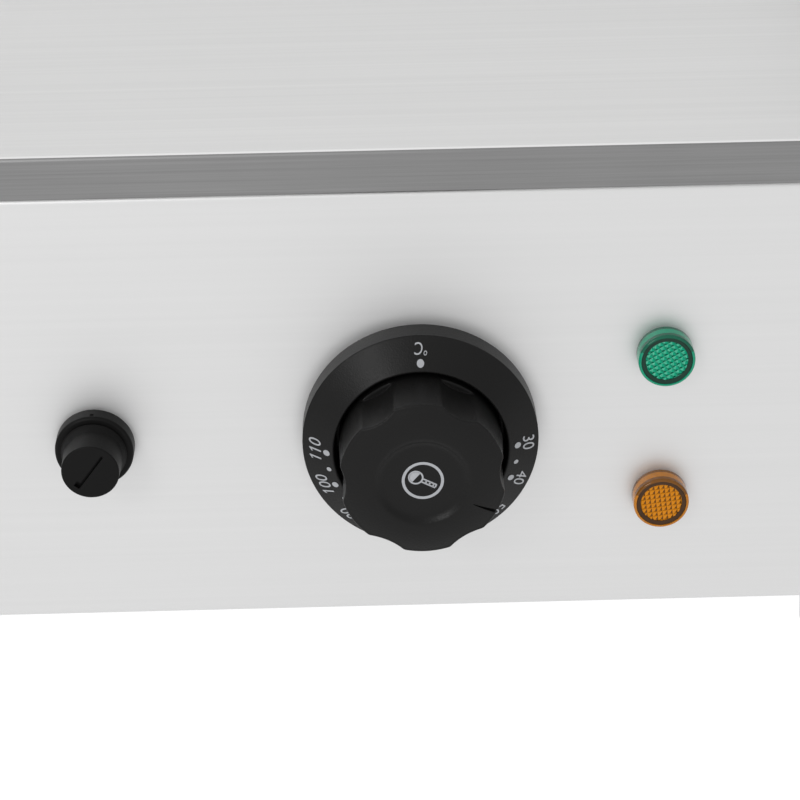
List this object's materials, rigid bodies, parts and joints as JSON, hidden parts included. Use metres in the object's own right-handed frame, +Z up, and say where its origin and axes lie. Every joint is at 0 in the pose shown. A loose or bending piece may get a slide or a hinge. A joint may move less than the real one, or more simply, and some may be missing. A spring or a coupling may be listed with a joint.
{
  "type": "flat top griddle",
  "caption": "Countertop electric flat top griddle: thick ground steel plate with a splash guard on a sheet steel body, with thermostat knob, reset cap, pilot lamps and grease drawer.",
  "frame": {"origin": "under the middle of the whole appliance, on the surface that its feet stand on", "axes": "+X to the right along the front, +Y from the front to the back, +Z up"},
  "size_m": [0.5646, 0.473, 0.239],
  "materials": {
    "stainless_sheet": "satin",
    "ground_plate": "ground, polished by use",
    "plain_steel": "zinc plated",
    "bright_tray": "aluminised",
    "element_sheath": "heat darkened",
    "black_plastic": "fine texture",
    "control_housing": "matt",
    "copper": "bare copper",
    "brass": "machined",
    "green_lens": "clear coloured",
    "amber_lens": "clear coloured",
    "lamp_housing": "gloss",
    "ceramic": "glazed",
    "mineral_board": "fibrous",
    "lead_insulation": "silicone",
    "foot_rubber": "matt",
    "seal_rubber": "matt"
  },
  "bodies": {
    "chassis": {"control_panel": "stainless_sheet", "left_side_panel": "stainless_sheet", "right_side_panel": "stainless_sheet", "back_panel": "stainless_sheet", "base_pan": "stainless_sheet", "splash_guard": "stainless_sheet", "grease_chute": "stainless_sheet", "drawer_runner_left": "stainless_sheet", "drawer_runner_right": "stainless_sheet", "electrics_partition": "stainless_sheet", "griddle_plate": "ground_plate", "body_screws": "plain_steel", "plate_studs": "plain_steel", "stud_nuts": "plain_steel", "element_clamp_bars": "plain_steel", "tray_screws": "plain_steel", "bulb_clips": "plain_steel", "bezel_screws": "plain_steel", "lamp_clips": "plain_steel", "terminal_nuts": "plain_steel", "terminal_screws": "plain_steel", "foot_bolts": "plain_steel", "foot_nuts": "plain_steel", "reflector_tray": "bright_tray", "heating_element_left": "element_sheath", "heating_element_centre": "element_sheath", "heating_element_right": "element_sheath", "dial_bezel": "black_plastic", "reset_collar": "black_plastic", "cable_gland": "black_plastic", "gland_locknut": "black_plastic", "thermostat_body": "control_housing", "limiter_body": "control_housing", "thermostat_bulb": "copper", "limiter_bulb": "copper", "bus_bar_live": "copper", "bus_bar_neutral": "copper", "bonding_stud": "brass", "bonding_stud_nut": "brass", "green_lens": "green_lens", "amber_lens": "amber_lens", "green_lamp_body": "lamp_housing", "amber_lamp_body": "lamp_housing", "mains_terminal_block": "ceramic", "insulation_board": "mineral_board", "internal_wires": "lead_insulation", "foot_front_left": "foot_rubber", "foot_front_right": "foot_rubber", "foot_rear_left": "foot_rubber", "foot_rear_right": "foot_rubber"},
    "knob": {"knob_grip": "black_plastic", "knob_insert": "brass", "thermostat_shaft": "brass"},
    "cap_washer": {"reset_cap_washer": "seal_rubber"},
    "reset_cap": {"reset_cap": "black_plastic"},
    "reset_button": {"reset_button": "lamp_housing"},
    "drawer": {"drawer_pan": "stainless_sheet", "drawer_front": "stainless_sheet", "drawer_handle": "stainless_sheet", "handle_screws": "plain_steel"}
  },
  "joints": [
    {"name": "knob_turn", "type": "hinge", "parent": "chassis", "child": "knob", "pos_m": [0.11, -0.2075, 0.096], "axis": [0, 1, 0], "range_deg": [-117.5, 152.5]},
    {"name": "drawer_slide", "type": "slide", "parent": "chassis", "child": "drawer", "axis": [0, -1, 0], "range_m": [0, 0.25]},
    {"name": "cap_lift", "type": "slide", "parent": "chassis", "child": "cap_washer", "axis": [0, -1, 0], "range_m": [0, 0.0035]},
    {"name": "cap_unscrew", "type": "hinge", "parent": "cap_washer", "child": "reset_cap", "pos_m": [0.023, -0.2175, 0.094], "axis": [0, -1, 0], "range_deg": [0, 1270]},
    {"name": "reset_press", "type": "slide", "parent": "chassis", "child": "reset_button", "axis": [0, 1, 0], "range_m": [0, 0.002], "stiffness_N_per_m": 500, "springref_m": -0.001}
  ],
  "couplings": [
    {"joint": "cap_unscrew", "follows": "cap_lift", "rad_per_m": 6283.2}
  ]
}
